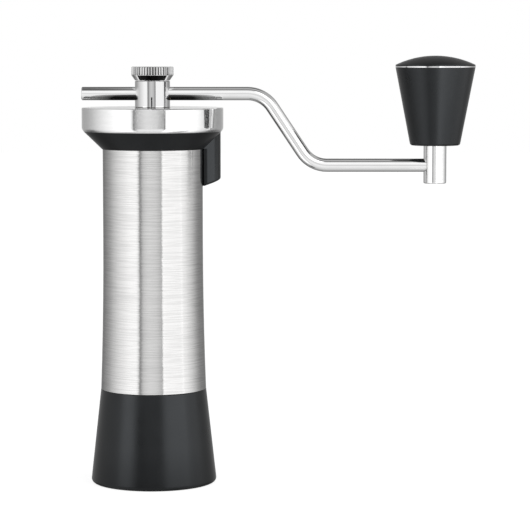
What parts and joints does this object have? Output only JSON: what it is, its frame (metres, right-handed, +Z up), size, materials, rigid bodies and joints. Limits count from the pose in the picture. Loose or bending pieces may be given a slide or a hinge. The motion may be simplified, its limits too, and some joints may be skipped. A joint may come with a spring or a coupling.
{
  "type": "hand crank coffee grinder",
  "caption": "Hand coffee grinder: waisted steel tube on a flared black catch cup, steel lid, cranked rod arm with a tapered knob, and conical burrs inside.",
  "frame": {"origin": "middle of the catch cup's underside, on the surface that the grinder stands on", "axes": "+Z up along the shaft, +X along the crank arm towards the knob"},
  "size_m": [0.1995, 0.0718, 0.2177],
  "materials": {
    "black_plastic": "soft-touch matt black",
    "brushed_steel": "stainless steel brushed round the body",
    "polished_steel": "mirror-polished stainless steel",
    "burr_steel": "ground tool steel",
    "fastener_steel": "plain stainless steel",
    "spring_steel": "drawn spring wire",
    "bearing_steel": "polished bearing steel",
    "bronze": "plain bearing bronze",
    "aluminium": "bead-blasted aluminium",
    "seal_rubber": "black silicone",
    "magnet_plating": "nickel plating"
  },
  "bodies": {
    "cup": {"catch_cup": "black_plastic", "cup_keeper_ring": "fastener_steel"},
    "housing": {"body_tube": "brushed_steel", "hopper_collar": "black_plastic", "lid_seal": "seal_rubber", "upper_spider": "aluminium", "spider_screws": "fastener_steel", "key_pin": "fastener_steel", "detent_ball": "bearing_steel", "detent_spring": "spring_steel", "lower_spider": "aluminium", "lower_bearing_outer_race": "bearing_steel", "lower_bearing_circlip": "spring_steel", "outer_burr": "burr_steel", "retaining_ring": "aluminium", "cup_magnets": "magnet_plating"},
    "lid": {"lid": "polished_steel", "lid_inlay": "black_plastic", "lid_bush": "bronze"},
    "crank_hub": {"crank_hub": "polished_steel", "hub_thrust_washer": "fastener_steel", "hub_circlip": "spring_steel"},
    "arm": {"crank_arm": "polished_steel", "knob_post": "polished_steel", "knob_washer": "fastener_steel", "knob_screw": "fastener_steel"},
    "knob": {"knob_body": "black_plastic", "knob_lower_bush": "bronze", "knob_upper_bush": "bronze", "knob_trim_ring": "polished_steel", "knob_cap": "black_plastic"},
    "pad": {"clamp_pad": "bronze"},
    "thumb_screw": {"thumb_screw": "polished_steel"},
    "dial": {"adjusting_dial": "aluminium"},
    "carriage": {"bearing_sleeve": "aluminium", "upper_bearing_outer_race": "bearing_steel", "sleeve_circlip": "spring_steel"},
    "upper_cage": {"upper_bearing_balls": "bearing_steel", "upper_bearing_cage": "bronze"},
    "rotor": {"lower_bearing_inner_race": "bearing_steel", "preload_spring": "spring_steel"},
    "lower_cage": {"lower_bearing_balls": "bearing_steel", "lower_bearing_cage": "bronze"},
    "shaft": {"drive_shaft": "fastener_steel", "upper_bearing_inner_race": "bearing_steel", "shaft_circlip": "spring_steel", "drive_pin": "fastener_steel", "inner_burr": "burr_steel", "burr_washer": "fastener_steel", "burr_screw": "fastener_steel"}
  },
  "joints": [
    {"name": "body_lift", "type": "slide", "parent": "cup", "child": "housing", "axis": [0, 0, 1], "range_m": [0, 0.06]},
    {"name": "lid_lift", "type": "slide", "parent": "housing", "child": "lid", "axis": [0, 0, 1], "range_m": [0, 0.06]},
    {"name": "crank_spin", "type": "hinge", "parent": "lid", "child": "crank_hub", "pos_m": [0, 0, 0.19], "axis": [0, 0, 1], "continuous": true},
    {"name": "arm_slide", "type": "slide", "parent": "crank_hub", "child": "arm", "axis": [1, 0, 0], "range_m": [-0.018, 0.025]},
    {"name": "knob_spin", "type": "hinge", "parent": "arm", "child": "knob", "pos_m": [0.1433, 0, 0.19], "axis": [0, 0, 1], "continuous": true},
    {"name": "screw_rise", "type": "slide", "parent": "crank_hub", "child": "pad", "axis": [0, 0, 1], "range_m": [0, 0.002]},
    {"name": "screw_turn", "type": "hinge", "parent": "pad", "child": "thumb_screw", "pos_m": [0, 0, 0.205], "axis": [0, 0, 1], "range_deg": [-6, 727]},
    {"name": "dial_turn", "type": "hinge", "parent": "housing", "child": "dial", "pos_m": [0, 0, 0.175], "axis": [0, 0, 1], "range_deg": [-275, 367]},
    {"name": "carriage_feed", "type": "slide", "parent": "housing", "child": "carriage", "axis": [0, 0, 1], "range_m": [-0.001, 0.00075], "deforming": ["preload_spring"]},
    {"name": "upper_cage_spin", "type": "hinge", "parent": "carriage", "child": "upper_cage", "pos_m": [0, 0, 0.1687], "axis": [0, 0, 1], "continuous": true},
    {"name": "shaft_spin", "type": "hinge", "parent": "carriage", "child": "shaft", "pos_m": [0, 0, 0.08], "axis": [0, 0, 1], "continuous": true},
    {"name": "race_spin", "type": "hinge", "parent": "housing", "child": "rotor", "pos_m": [0, 0, 0.08], "axis": [0, 0, 1], "continuous": true},
    {"name": "lower_cage_spin", "type": "hinge", "parent": "housing", "child": "lower_cage", "pos_m": [0, 0, 0.08], "axis": [0, 0, 1], "continuous": true}
  ],
  "couplings": [
    {"joint": "screw_turn", "follows": "screw_rise", "rad_per_m": 6283.2},
    {"joint": "dial_turn", "follows": "carriage_feed", "rad_per_m": -6283.2},
    {"joint": "shaft_spin", "follows": "crank_spin", "ratio": 1},
    {"joint": "race_spin", "follows": "crank_spin", "ratio": 1},
    {"joint": "upper_cage_spin", "follows": "crank_spin", "ratio": 0.40125},
    {"joint": "lower_cage_spin", "follows": "crank_spin", "ratio": 0.40125}
  ]
}
